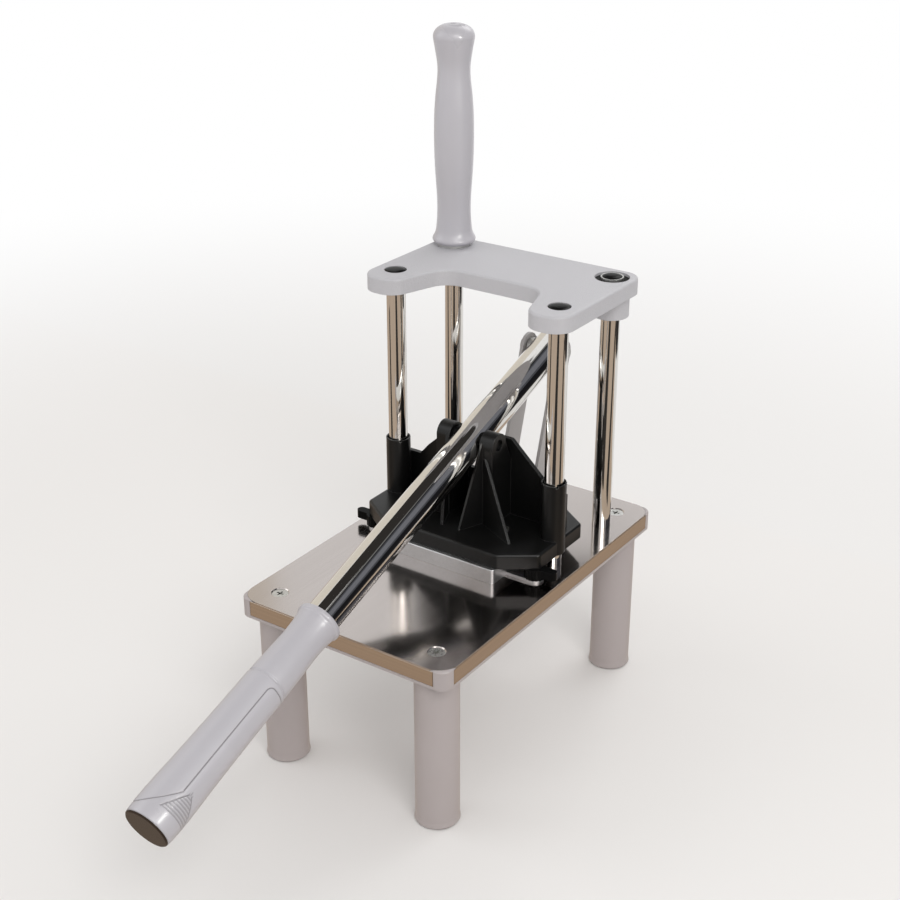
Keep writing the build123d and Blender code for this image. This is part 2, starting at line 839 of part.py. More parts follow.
with BuildPart() as bracket_bolts:
    with BuildSketch(level(bracket_top)):
        with Locations(*bracket_bolt_places):
            Circle(bracket_bolt_head_radius)
    extrude(amount=bracket_bolt_head_height)
    with BuildSketch(level(bracket_top)):
        with Locations(*bracket_bolt_places):
            Circle(bracket_bolt_radius)
    extrude(amount=deck_bottom - nut_height - bracket_top)
    with BuildSketch(level(deck_bottom)):
        with Locations(*bracket_bolt_places):
            RegularPolygon(nut_radius, 6)
    extrude(amount=-nut_height)
keep(bracket_bolts, "bracket_bolts")

link_outer_x = link_inner_x + link_thickness
head_inner_x = link_outer_x + side_gap
with BuildPart() as link_lower_pin:
    with Locations((0, link_pivot_y, link_pivot_z)):
        Cylinder(link_pin_radius, 2 * head_inner_x, rotation=(0, 90, 0))
    for head_x in (-head_inner_x - link_bolt_head_height, head_inner_x):
        with BuildSketch(side(head_x)):
            with Locations((link_pivot_y, link_pivot_z)):
                Circle(link_bolt_head_radius)
        extrude(amount=link_bolt_head_height)
keep(link_lower_pin, "link_lower_pin")

# Wing knob studs, each with a nut under the deck
stud_top = knob_top - 2.0
with BuildPart() as clamp_studs:
    with BuildSketch(level(deck_bottom - nut_height)):
        with Locations(*knob_places):
            Circle(stud_radius)
    extrude(amount=stud_top - deck_bottom + nut_height)
    with BuildSketch(level(deck_bottom)):
        with Locations(*knob_places):
            RegularPolygon(nut_radius, 6)
    extrude(amount=-nut_height)
keep(clamp_studs, "clamp_studs")

# Wing knobs
knob_bottom = lug_top + side_gap
insert_top = stud_top + 0.5
for knob_side, place in zip(("left", "right"), knob_places):
    with BuildPart() as knob:
        with BuildSketch(level(knob_bottom)):
            with Locations(place):
                Circle(knob_radius)
                with PolarLocations(knob_radius + 0.2, knob_flutes):
                    Circle(knob_flute_radius, mode=Mode.SUBTRACT)
        extrude(amount=knob_top - knob_bottom)
        outward = 1 if place[0] > 0 else -1
        with BuildSketch(level(knob_bottom + wing_rise)):
            with Locations((place[0] + outward * (wing_reach - wing_width / 2) / 2, place[1])):
                Rectangle(wing_reach - wing_width / 2, wing_width)
            with Locations((place[0] + outward * (wing_reach - wing_width / 2), place[1])):
                Circle(wing_width / 2)
        extrude(amount=knob_top - knob_bottom - wing_rise)
        with BuildSketch(level(knob_bottom)):
            with Locations(place):
                Circle(knob_insert_radius)
        extrude(amount=insert_top - knob_bottom, mode=Mode.SUBTRACT)
    keep(knob, f"{knob_side}_wing_knob")
    with BuildPart() as knob_insert:
        with BuildSketch(level(knob_bottom)):
            with Locations(place):
                Circle(knob_insert_radius)
                Circle(stud_radius + running_gap, mode=Mode.SUBTRACT)
        extrude(amount=insert_top - knob_bottom)
    keep(knob_insert, f"{knob_side}_knob_insert")

# Carriage: one black casting that slides on the front columns
flange_half_x = front_column_x + flange_side_margin
flange_corner_x = flange_half_x - flange_chamfer_x
flange_corner_y = flange_half_y - flange_chamfer_y
flange_points = [
    (flange_half_x, flange_corner_y),
    (flange_corner_x, flange_half_y),
    (-flange_corner_x, flange_half_y),
    (-flange_half_x, flange_corner_y),
    (-flange_half_x, -flange_corner_y),
    (-flange_corner_x, -flange_half_y),
    (flange_corner_x, -flange_half_y),
    (flange_half_x, -flange_corner_y),
]
push_plate_bottom = flange_bottom + push_plate_recess
push_plate_top = push_plate_bottom + push_plate_thickness
pocket_side = push_plate_side + 4 * seat_gap
wall_peak_z = pivot_z - wall_peak_drop
wall_mid_x = front_column_x - wall_mid_inset
wall_mid_z = pivot_z - wall_mid_drop
wall_low_x = front_column_x - wall_low_inset
wall_low_z = pivot_z - wall_low_drop
wall_end_x = front_column_x + gusset_width / 2
ear_front = pivot_y - ear_radius
# each rib: where it meets the ear, where its foot ends, and its height at the ear
ribs = [
    (inner_rib_x, inner_rib_foot_x, inner_rib_reach, pivot_z + inner_rib_rise),
    (
        outer_rib_x,
        flange_corner_x - outer_rib_foot_inset,
        outer_rib_reach,
        pivot_z - outer_rib_drop,
    ),
]
with BuildPart() as carriage_body:
    with BuildSketch(level(flange_bottom)) as flange_outline:
        with Locations(grid_centre):
            Polygon(*flange_points, align=None)
        fillet(flange_outline.vertices(), radius=flange_corner_round)
    extrude(amount=flange_height)
    fillet(carriage_body.faces().sort_by(Axis.Z)[-1].edges(), radius=flange_edge_round)
    # rear wall
    with BuildSketch(Plane((0, wall_y, 0), (1, 0, 0), (0, -1, 0))):
        Polygon(
            (-wall_end_x, flange_top),
            (-wall_end_x, wall_low_z),
            (-wall_low_x, wall_low_z),
            (-wall_mid_x, wall_mid_z),
            (-ear_outer_x, wall_peak_z),
            (-ear_inner_x, wall_peak_z),
            (-ear_inner_x, wall_notch_z),
            (ear_inner_x, wall_notch_z),
            (ear_inner_x, wall_peak_z),
            (ear_outer_x, wall_peak_z),
            (wall_mid_x, wall_mid_z),
            (wall_low_x, wall_low_z),
            (wall_end_x, wall_low_z),
            (wall_end_x, flange_top),
            align=None,
        )
    extrude(amount=-wall_thickness)
    # ears
    for ear_x in (-ear_outer_x, ear_inner_x):
        with BuildSketch(side(ear_x)):
            with Locations((pivot_y, pivot_z)):
                Circle(ear_radius)
            Polygon(
                (ear_front, flange_top),
                (ear_front, pivot_z),
                (pivot_y + ear_radius, pivot_z),
                (wall_y + wall_thickness, wall_mid_z),
                (wall_y + wall_thickness, flange_top),
                align=None,
            )
        extrude(amount=ear_outer_x - ear_inner_x)
    # two thin sloping ribs in front of each ear
    for hand in (-1, 1):
        for rib_x, foot_x, reach, rib_top in ribs:
            root = Vector(hand * rib_x, ear_front, flange_top)
            foot = Vector(hand * foot_x, pivot_y - reach, flange_top)
            along = foot - root
            with BuildSketch(Plane(root, along, (along.Y, -along.X, 0))):
                Polygon(
                    (-rib_thickness, 0),
                    (along.length, 0),
                    (0, rib_top - flange_top),
                    (-rib_thickness, rib_top - flange_top),
                    align=None,
                )
            extrude(amount=rib_thickness / 2, both=True)
    # sleeves and their webs
    with BuildSketch(level(flange_bottom)):
        with Locations(*front_places):
            Circle(sleeve_radius)
    extrude(amount=sleeve_top - flange_bottom)
    for hand in (-1, 1):
        with BuildSketch(level(flange_top)):
            with Locations((hand * front_column_x, (front_column_y + wall_y) / 2)):
                Rectangle(gusset_width, wall_y - front_column_y)
        extrude(amount=wall_low_z - flange_top)
    # notches in the sleeves' rims
    with BuildSketch(level(sleeve_top)):
        with Locations(*front_places):
            Rectangle(3 * sleeve_radius, rim_notch_width, rotation=45)
            Rectangle(3 * sleeve_radius, rim_notch_width, rotation=-45)
    extrude(amount=-rim_notch_depth, mode=Mode.SUBTRACT)
    # pocket for the push block
    with BuildSketch(level(flange_bottom)):
        with Locations(grid_centre):
            Rectangle(pocket_side, pocket_side)
    extrude(amount=push_plate_top - flange_bottom, mode=Mode.SUBTRACT)
    # bores: bush seats at both ends, and the column's way between them
    with BuildSketch(level(flange_bottom)):
        with Locations(*front_places):
            Circle(bush_radius)
    extrude(amount=sleeve_top - flange_bottom, mode=Mode.SUBTRACT)
    with Locations((0, pivot_y, pivot_z)):
        Cylinder(ear_pin_radius, 4 * ear_outer_x, rotation=(0, 90, 0), mode=Mode.SUBTRACT)
    with BuildSketch(level(flange_bottom)):
        with Locations(*push_screw_places):
            Circle(push_screw_radius)
    extrude(amount=flange_height, mode=Mode.SUBTRACT)
keep(carriage_body, "carriage_body")

with BuildPart() as guide_bushes:
    for bush_bottom in (flange_bottom, sleeve_top - bush_sink - bush_length):
        with BuildSketch(level(bush_bottom)):
            with Locations(*front_places):
                Circle(bush_radius)
                Circle(column_radius + running_gap, mode=Mode.SUBTRACT)
        extrude(amount=bush_length)
keep(guide_bushes, "guide_bushes")

# Push block: plate with one peg for each cell of the blades
with BuildPart() as push_block:
    with BuildSketch(level(push_plate_bottom)):
        with Locations(grid_centre):
            Rectangle(push_plate_side, push_plate_side)
    extrude(amount=push_plate_thickness)
    with BuildSketch(level(push_plate_bottom)):
        with Locations(grid_centre):
            with GridLocations(cell_pitch, cell_pitch, cells, cells):
                Rectangle(peg_side, peg_side)
    extrude(amount=-peg_length)
    with BuildSketch(level(push_plate_bottom)):
        with Locations(*push_screw_places):
            Circle(push_screw_radius)
    extrude(amount=push_plate_thickness, mode=Mode.SUBTRACT)
keep(push_block, "push_block")

with BuildPart() as push_block_screws:
    with Locations(*[(x, y, flange_top) for x, y in push_screw_places]):
        Cylinder(
            push_screw_head_radius,
            push_screw_head_height,
            align=(Align.CENTER, Align.CENTER, Align.MIN),
        )
        Cylinder(
            push_screw_radius,
            flange_top - push_plate_bottom,
            align=(Align.CENTER, Align.CENTER, Align.MAX),
        )
keep(push_block_screws, "push_block_screws")

with BuildPart() as pivot_pin:
    with Locations((0, pivot_y, pivot_z)):
        Cylinder(ear_pin_radius, 2 * (ear_outer_x - ear_pin_sink), rotation=(0, 90, 0))
keep(pivot_pin, "pivot_pin")

# Lever: chromed tube with a bush for the pivot pin and one for the links
tube_back = -(link_pin_distance + lever_tail)
tube_front = grip_end - grip_cap_thickness - 6.0
with BuildPart() as lever_tube:
    with BuildSketch(lever_profile):
        Polygon(
            (tube_back, lever_radius - lever_wall),
            (tube_back, lever_radius),
            (tube_front, lever_radius),
            (tube_front, lever_radius - lever_wall),
            align=None,
        )
    revolve(axis=lever_axis)
    for centre in (pivot, link_top):
        with BuildSketch(side(-lever_radius)):
            with Locations((centre.Y, centre.Z)):
                Circle(pivot_bush_radius)
        extrude(amount=2 * lever_radius, mode=Mode.SUBTRACT)
keep(lever_tube, "lever_tube")

pivot_bush_half = ear_inner_x - side_gap
with BuildPart() as pivot_bush:
    with BuildSketch(side(-pivot_bush_half)):
        with Locations((pivot.Y, pivot.Z)):
            Circle(pivot_bush_radius)
            Circle(ear_pin_radius + running_gap, mode=Mode.SUBTRACT)
    extrude(amount=2 * pivot_bush_half)
keep(pivot_bush, "pivot_bush")

link_bush_half = link_inner_x - bolt_stub - side_gap
with BuildPart() as link_bush:
    with BuildSketch(side(-link_bush_half)):
        with Locations((link_top.Y, link_top.Z)):
            Circle(pivot_bush_radius)
            Circle(link_pin_radius, mode=Mode.SUBTRACT)
    extrude(amount=2 * link_bush_half)
keep(link_bush, "link_bush")

with BuildPart() as tube_plug:
    with BuildSketch(lever_profile):
        Polygon(
            (tube_back - tail_plug_proud, 0),
            (tube_back - tail_plug_proud, lever_radius - 0.8),
            (tube_back - tail_plug_proud + 0.8, lever_radius),
            (tube_back, lever_radius),
            (tube_back, lever_radius - lever_wall),
            (tube_back + tail_plug_depth, lever_radius - lever_wall),
            (tube_back + tail_plug_depth, 0),
            align=None,
        )
    revolve(axis=lever_axis)
keep(tube_plug, "tube_plug")

# Grip: moulded over the front of the tube, with a dark cap
grip_back = grip_end - grip_cap_thickness
grip_body = grip_back - grip_step
with BuildPart() as lever_grip:
    with BuildSketch(lever_profile):
        with BuildLine():
            Line((grip_start, 0), (grip_start, grip_collar_radius - 1.4))
            Spline(
                (grip_start, grip_collar_radius - 1.4),
                (grip_start + 2.2, grip_collar_radius),
                (grip_start + 5.0, grip_collar_radius - 0.9),
                (grip_start + 10.0, grip_neck_radius + 0.9),
                (grip_start + 20.0, grip_neck_radius),
                (grip_start + 36.0, grip_neck_radius + 0.6),
                (grip_step - 12.0, grip_groove_radius + 0.4),
                (grip_step - 1.2, grip_groove_radius + 0.7),
            )
            Polyline(
                (grip_step - 1.2, grip_groove_radius + 0.7),
                (grip_step - 0.6, grip_groove_radius),
                (grip_step + 0.6, grip_groove_radius),
                (grip_step + 1.6, grip_body_radius - 0.2),
            )
            Spline(
                (grip_step + 1.6, grip_body_radius - 0.2),
                (grip_step + 0.12 * grip_body, grip_body_radius),
                (grip_step + 0.34 * grip_body, grip_body_radius + 0.3),
                (grip_step + 0.56 * grip_body, grip_body_radius + 0.8),
                (grip_step + 0.71 * grip_body, grip_body_radius + 1.6),
                (grip_step + 0.82 * grip_body, grip_bulb_radius),
                (grip_step + 0.93 * grip_body, grip_bulb_radius - 0.1),
                (grip_back, grip_cap_radius + 0.2),
            )
            Line((grip_back, grip_cap_radius + 0.2), (grip_back, 0))
            Line((grip_back, 0), (grip_start, 0))
        make_face()
    revolve(axis=lever_axis)
    with BuildSketch(lever_profile):
        Polygon(
            (grip_start, 0),
            (grip_start, lever_radius),
            (tube_front, lever_radius),
            (tube_front, 0),
            align=None,
        )
    revolve(axis=lever_axis, mode=Mode.SUBTRACT)
keep(lever_grip, "lever_grip")

with BuildPart() as grip_cap:
    with BuildSketch(lever_profile):
        Polygon(
            (grip_back, 0),
            (grip_back, grip_cap_radius),
            (grip_end - 0.8, grip_cap_radius),
            (grip_end, grip_cap_radius - 0.8),
            (grip_end, 0),
            align=None,
        )
    revolve(axis=lever_axis)
keep(grip_cap, "grip_cap")

# Links: a pair of flat bars from the bracket up to the lever's tail
link_middle = (link_pivot + link_top) * 0.5
link_angle = 90 - degrees(link_lean)
for link_side, link_x in (("left", -link_outer_x), ("right", link_inner_x)):
    with BuildPart() as link:
        with BuildSketch(side(link_x)):
            with Locations((link_middle.Y, link_middle.Z)):
                SlotCenterToCenter(link_length, link_width, rotation=link_angle)
            with Locations((link_pivot_y, link_pivot_z)):
                Circle(link_pin_radius + running_gap, mode=Mode.SUBTRACT)
            with Locations((link_top.Y, link_top.Z)):
                Circle(link_pin_radius, mode=Mode.SUBTRACT)
        extrude(amount=link_thickness)
    keep(link, f"{link_side}_link")

# Upper bolts: one through each link, ending short of the lever's bush
with BuildPart() as link_bolts:
    for hand in (-1, 1):
        bolt_plane = Plane(
            (hand * (link_inner_x - bolt_stub), link_top.Y, link_top.Z), (0, 1, 0), (hand, 0, 0)
        )
        with BuildSketch(bolt_plane):
            Circle(link_pin_radius)
        extrude(amount=bolt_stub + link_thickness)
        with BuildSketch(bolt_plane.offset(bolt_stub + link_thickness)):
            Circle(link_bolt_head_radius)
        extrude(amount=link_bolt_head_height)
keep(link_bolts, "link_bolts")
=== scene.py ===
import json
import math

import bmesh
import bpy
from mathutils import Matrix, Vector


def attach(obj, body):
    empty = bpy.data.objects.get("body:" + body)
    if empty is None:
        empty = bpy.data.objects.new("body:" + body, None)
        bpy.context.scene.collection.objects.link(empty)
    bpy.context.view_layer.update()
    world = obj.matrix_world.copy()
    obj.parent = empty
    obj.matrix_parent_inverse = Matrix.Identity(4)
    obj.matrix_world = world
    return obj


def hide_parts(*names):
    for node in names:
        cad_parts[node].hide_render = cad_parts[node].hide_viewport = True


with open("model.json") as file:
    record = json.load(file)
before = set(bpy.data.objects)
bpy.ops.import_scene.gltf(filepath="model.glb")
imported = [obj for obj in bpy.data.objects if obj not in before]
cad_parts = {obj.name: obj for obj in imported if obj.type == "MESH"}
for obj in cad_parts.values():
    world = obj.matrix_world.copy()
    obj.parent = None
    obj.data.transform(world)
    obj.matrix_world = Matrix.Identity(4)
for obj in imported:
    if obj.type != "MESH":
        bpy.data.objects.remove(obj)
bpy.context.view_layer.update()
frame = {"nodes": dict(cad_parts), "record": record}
print("frame loaded:", len(frame["nodes"]), "nodes")

mm = 0.001


# Shader groups
def shaderGroup(name, inputs, outputs):
    group = bpy.data.node_groups.new(name, "ShaderNodeTree")
    for label, kind, value in inputs:
        socket = group.interface.new_socket(label, in_out="INPUT", socket_type="NodeSocket" + kind)
        socket.default_value = value
    for label, kind in outputs:
        group.interface.new_socket(label, in_out="OUTPUT", socket_type="NodeSocket" + kind)
    return group, group.nodes.new("NodeGroupInput"), group.nodes.new("NodeGroupOutput")


def mathNode(tree, operation, a, b, clamp=False):
    node = tree.nodes.new("ShaderNodeMath")
    node.operation = operation
    node.use_clamp = clamp
    for index, value in enumerate((a, b)):
        if isinstance(value, (int, float)):
            node.inputs[index].default_value = value
        else:
            tree.links.new(value, node.inputs[index])
    return node.outputs[0]


def rangeNode(tree, value, fromSpan, toSpan, smooth=False):
    node = tree.nodes.new("ShaderNodeMapRange")
    node.interpolation_type = "SMOOTHSTEP" if smooth else "LINEAR"
    tree.links.new(value, node.inputs["Value"])
    node.inputs["From Min"].default_value, node.inputs["From Max"].default_value = fromSpan
    node.inputs["To Min"].default_value, node.inputs["To Max"].default_value = toSpan
    return node.outputs["Result"]


def colourMix(tree, factor, low, high):
    node = tree.nodes.new("ShaderNodeMix")
    node.data_type = "RGBA"
    tree.links.new(factor, node.inputs["Factor"])
    for label, colour in (("A", low), ("B", high)):
        if isinstance(colour, tuple):
            node.inputs[label].default_value = (*colour, 1.0)
        else:
            tree.links.new(colour, node.inputs[label])
    return node.outputs["Result"]


spans = {
    "whole": (0.0, 1.0),
    "noise": (0.3, 0.7),  # where most of a noise's values lie
    "tone": (0.35, 0.65),
    "smudge": (0.45, 0.75),
    "edge": (0.998, 0.85),  # cosine between the flat normal and the rounded one
}


# speckle: pebbled moulding texture, and soft patches for colour and gloss
def buildSpeckleGroup():
    group, source, sink = shaderGroup(
        "speckle",
        [("Grain Size", "Float", 900.0), ("Patch Size", "Float", 14.0)],
        [("Grain", "Float"), ("Patch", "Float")],
    )
    coords = group.nodes.new("ShaderNodeTexCoord")
    grain = group.nodes.new("ShaderNodeTexNoise")
    grain.inputs["Detail"].default_value = 3.0
    grain.inputs["Roughness"].default_value = 0.6
    patch = group.nodes.new("ShaderNodeTexNoise")
    patch.inputs["Detail"].default_value = 4.0
    for node, label in ((grain, "Grain Size"), (patch, "Patch Size")):
        group.links.new(coords.outputs["Object"], node.inputs["Vector"])
        group.links.new(source.outputs[label], node.inputs["Scale"])
    group.links.new(grain.outputs["Fac"], sink.inputs["Grain"])
    group.links.new(patch.outputs["Fac"], sink.inputs["Patch"])
    return group


# streaks: brushing lines, long along the axis whose scale is small
def buildStreakGroup():
    group, source, sink = shaderGroup(
        "streaks",
        [("Stretch", "Vector", (4.0, 900.0, 900.0))],
        [("Lines", "Float"), ("Broad", "Float")],
    )
    coords = group.nodes.new("ShaderNodeTexCoord")
    scaled = group.nodes.new("ShaderNodeVectorMath")
    scaled.operation = "MULTIPLY"
    group.links.new(coords.outputs["Object"], scaled.inputs[0])
    group.links.new(source.outputs["Stretch"], scaled.inputs[1])
    for label, size, detail in (("Lines", 1.0, 4.0), ("Broad", 0.06, 3.0)):
        noise = group.nodes.new("ShaderNodeTexNoise")
        noise.inputs["Scale"].default_value = size
        noise.inputs["Detail"].default_value = detail
        noise.inputs["Roughness"].default_value = 0.65
        group.links.new(scaled.outputs[0], noise.inputs["Vector"])
        group.links.new(noise.outputs["Fac"], sink.inputs[label])
    return group


# roundEdge: a rounded normal at every hard edge, and a mask that is 1 on the edge
def buildRoundEdgeGroup():
    group, source, sink = shaderGroup(
        "roundEdge", [("Radius", "Float", 0.0004)], [("Normal", "Vector"), ("Edge", "Float")]
    )
    bevel = group.nodes.new("ShaderNodeBevel")
    bevel.samples = 4
    group.links.new(source.outputs["Radius"], bevel.inputs["Radius"])
    shape = group.nodes.new("ShaderNodeNewGeometry")
    dot = group.nodes.new("ShaderNodeVectorMath")
    dot.operation = "DOT_PRODUCT"
    group.links.new(bevel.outputs[0], dot.inputs[0])
    group.links.new(shape.outputs["Normal"], dot.inputs[1])
    edge = rangeNode(group, dot.outputs["Value"], spans["edge"], spans["whole"])
    group.links.new(bevel.outputs[0], sink.inputs["Normal"])
    group.links.new(edge, sink.inputs["Edge"])
    return group


speckleGroup = buildSpeckleGroup()
streakGroup = buildStreakGroup()
roundEdgeGroup = buildRoundEdgeGroup()


def useGroup(tree, group, **values):
    node = tree.nodes.new("ShaderNodeGroup")
    node.node_tree = group
    for label, value in values.items():
        node.inputs[label.replace("_", " ")].default_value = value
    return node


def startMaterial(name):
    material = bpy.data.materials.new(name)
    material.use_nodes = True
    tree = material.node_tree
    return material, tree, tree.nodes["Principled BSDF"]


def addBump(tree, shader, height, look, normal):
    bump = tree.nodes.new("ShaderNodeBump")
    bump.inputs["Strength"].default_value = look["bump"]
    bump.inputs["Distance"].default_value = look["bumpDepth"]
    tree.links.new(height, bump.inputs["Height"])
    tree.links.new(normal, bump.inputs["Normal"])
    tree.links.new(bump.outputs["Normal"], shader.inputs["Normal"])


# Moulded plastic and painted castings: pebbled skin, patchy gloss, edges paled by a painted
# highlight, and relief lines darkened by painted shade where the mesh marks them
def mouldedMaterial(name, look):
    material, tree, shader = startMaterial(name)
    speckle = useGroup(
        tree, speckleGroup, Grain_Size=look["grainSize"], Patch_Size=look["patchSize"]
    )
    rounded = useGroup(tree, roundEdgeGroup, Radius=look["edgeRadius"])
    skin = colourMix(tree, speckle.outputs["Patch"], look["dark"], look["light"])
    # the edges are paled towards their edge colour: a painted highlight
    edge = mathNode(tree, "MULTIPLY", rounded.outputs["Edge"], look["edgeSheen"])
    skin = colourMix(tree, edge, skin, look["edgeSheenColour"])
    # painted shade: the relief's grooves are darkened by how deep they are cut
    if "cutShadeColour" in look:
        cut = tree.nodes.new("ShaderNodeAttribute")
        cut.attribute_name = "cut"
        skin = colourMix(tree, cut.outputs["Fac"], skin, look["cutShadeColour"])
    tree.links.new(skin, shader.inputs["Base Color"])
    roughness, spread = look["roughness"], look["roughnessSpread"]
    gloss = (roughness - spread, roughness + spread)
    shine = rangeNode(tree, speckle.outputs["Patch"], spans["noise"], gloss)
    tree.links.new(shine, shader.inputs["Roughness"])
    addBump(tree, shader, speckle.outputs["Grain"], look, rounded.outputs["Normal"])
    shader.inputs["Specular IOR Level"].default_value = look["specular"]
    return material


# Bare or plated metal: brushing lines or fine polish marks, and smudges
def metalMaterial(name, look):
    material, tree, shader = startMaterial(name)
    streaks = useGroup(tree, streakGroup, Stretch=look["stretch"])
    speckle = useGroup(
        tree, speckleGroup, Grain_Size=look["grainSize"], Patch_Size=look["patchSize"]
    )
    rounded = useGroup(tree, roundEdgeGroup, Radius=look["edgeRadius"])
    blend = mathNode(tree, "MULTIPLY", streaks.outputs["Lines"], look["lineShare"])
    broad = mathNode(tree, "MULTIPLY", streaks.outputs["Broad"], 1.0 - look["lineShare"])
    blend = mathNode(tree, "ADD", blend, broad)
    tone = rangeNode(tree, blend, spans["tone"], spans["whole"])
    tree.links.new(colourMix(tree, tone, look["dark"], look["light"]), shader.inputs["Base Color"])
    shine = rangeNode(tree, blend, spans["noise"], (look["roughLow"], look["roughHigh"]))
    smudge = rangeNode(tree, speckle.outputs["Patch"], spans["smudge"], (0.0, look["smudge"]))
    tree.links.new(mathNode(tree, "ADD", shine, smudge, clamp=True), shader.inputs["Roughness"])
    shader.inputs["Metallic"].default_value = 1.0
    addBump(tree, shader, streaks.outputs["Lines"], look, rounded.outputs["Normal"])
    return material


greyPlastic = {
    "dark": (0.455, 0.440, 0.452),
    "light": (0.500, 0.485, 0.497),
    "edgeSheenColour": (0.60, 0.59, 0.60),
    "edgeSheen": 0.25,
    "edgeRadius": 0.5 * mm,
    "grainSize": 1400.0,
    "patchSize": 11.0,
    "roughness": 0.40,
    "roughnessSpread": 0.05,
    "bump": 0.10,
    "bumpDepth": 0.2 * mm,
    "specular": 0.5,
}
gripPlastic = dict(
    greyPlastic,
    dark=(0.455, 0.443, 0.474),
    light=(0.495, 0.483, 0.514),
    # dark colour of the painted shade in the relief's grooves
    cutShadeColour=(0.200, 0.190, 0.200),
    roughness=0.30,
    bump=0.05,
)
platePlastic = dict(
    greyPlastic,
    dark=(0.470, 0.465, 0.488),
    light=(0.510, 0.505, 0.528),
    roughness=0.50,
    grainSize=750.0,
    bump=0.6,
    bumpDepth=0.5 * mm,
)
legPlastic = dict(
    greyPlastic, dark=(0.400, 0.360, 0.358), light=(0.440, 0.398, 0.396), roughness=0.36
)
blackCoat = {
    "dark": (0.0035, 0.0035, 0.0035),
    "light": (0.0055, 0.0055, 0.0055),
    # the black coat's edges are paled strongly: a painted highlight along the edges of its ribs
    "edgeSheenColour": (0.050, 0.050, 0.050),
    "edgeSheen": 0.75,
    "edgeRadius": 0.5 * mm,
    "grainSize": 1100.0,
    "patchSize": 16.0,
    "roughness": 0.34,
    "roughnessSpread": 0.06,
    "bump": 0.20,
    "bumpDepth": 0.2 * mm,
    "specular": 0.32,
}
blackPlastic = dict(
    blackCoat, roughness=0.20, roughnessSpread=0.04, bump=0.04, edgeSheen=0.2, specular=0.04
)
# the grip's end cap is black plastic; its dark brown colour is a painted reflection of the wooden
# table
gripCapPaintedReflection = dict(
    blackPlastic, dark=(0.030, 0.019, 0.013), light=(0.040, 0.027, 0.019), specular=0.10
)
blackRubber = dict(blackCoat, roughness=0.72, bump=0.35, edgeSheen=0.1)
whiteNylon = dict(
    greyPlastic,
    dark=(0.76, 0.76, 0.74),
    light=(0.82, 0.82, 0.80),
    edgeSheenColour=(0.85, 0.85, 0.84),
    roughness=0.45,
)
linkPaint = dict(
    greyPlastic, dark=(0.44, 0.42, 0.415), light=(0.49, 0.47, 0.465), roughness=0.42, bump=0.12
)

brushedSheet = {
    "dark": (0.500, 0.460, 0.440),
    "light": (0.540, 0.500, 0.480),
    "stretch": (1100.0, 6.0, 1100.0),
    "lineShare": 0.6,
    "grainSize": 800.0,
    "patchSize": 9.0,
    "roughLow": 0.09,
    "roughHigh": 0.15,
    "smudge": 0.04,
    "bump": 0.05,
    "bumpDepth": 0.04 * mm,
    "edgeRadius": 0.25 * mm,
}
# the strip's steel is tinted brown: a painted reflection of the wooden table
mirrorStrip = dict(
    brushedSheet,
    dark=(0.50, 0.430, 0.365),
    light=(0.585, 0.505, 0.430),
    stretch=(3.0, 3.0, 900.0),
    roughLow=0.08,
    roughHigh=0.14,
    bump=0.03,
)
chromePlate = dict(
    brushedSheet,
    dark=(0.71, 0.695, 0.67),
    light=(0.77, 0.755, 0.73),
    stretch=(500.0, 500.0, 30.0),
    roughLow=0.03,
    roughHigh=0.06,
    smudge=0.03,
    bump=0.0,
)
satinAlloy = dict(
    brushedSheet,
    dark=(0.50, 0.50, 0.505),
    light=(0.58, 0.58, 0.585),
    stretch=(500.0, 500.0, 500.0),
    roughLow=0.34,
    roughHigh=0.46,
    bump=0.15,
)
bladeSteel = dict(
    brushedSheet, dark=(0.62, 0.62, 0.62), light=(0.72, 0.72, 0.72), roughLow=0.16, roughHigh=0.26
)
platedSteel = dict(
    satinAlloy,
    dark=(0.52, 0.52, 0.50),
    light=(0.62, 0.62, 0.60),
    roughLow=0.24,
    roughHigh=0.34,
    bump=0.08,
)
bronzeBush = dict(satinAlloy, dark=(0.40, 0.27, 0.13), light=(0.50, 0.35, 0.18))

finishes = {
    "brushed_steel": metalMaterial("brushedSheet", brushedSheet),
    "mirror_steel": metalMaterial("mirrorStrip", mirrorStrip),
    "chrome": metalMaterial("chromePlate", chromePlate),
    "light_grey_plastic": mouldedMaterial("platePlastic", platePlastic),
    "grip_grey_plastic": mouldedMaterial("gripPlastic", gripPlastic),
    "leg_grey_plastic": mouldedMaterial("legPlastic", legPlastic),
    "black_coat": mouldedMaterial("blackCoat", blackCoat),
    "black_plastic": mouldedMaterial("blackPlastic", blackPlastic),
    "black_rubber": mouldedMaterial("blackRubber", blackRubber),
    "cast_aluminium": metalMaterial("satinAlloy", satinAlloy),
    "blade_steel": metalMaterial("bladeSteel", bladeSteel),
    "white_nylon": mouldedMaterial("whiteNylon", whiteNylon),
    "zinc_steel": metalMaterial("platedSteel", platedSteel),
    "bronze": metalMaterial("bronzeBush", bronzeBush),
    "link_grey": mouldedMaterial("linkPaint", linkPaint),
}

# the cap has its own material for its painted brown reflection
gripCapMaterial = mouldedMaterial("gripCapPaintedReflection", gripCapPaintedReflection)

slotOfNode = {row["node"]: row["material_slot"] for row in frame["record"]["subparts"]}
for nodeName, nodeObject in frame["nodes"].items():
    material = gripCapMaterial if nodeName == "grip_cap" else finishes[slotOfNode[nodeName]]
    if nodeObject.material_slots:
        for slot in nodeObject.material_slots:
            slot.material = material
    else:
        nodeObject.data.materials.append(material)
print("finishes on", len(slotOfNode), "nodes")


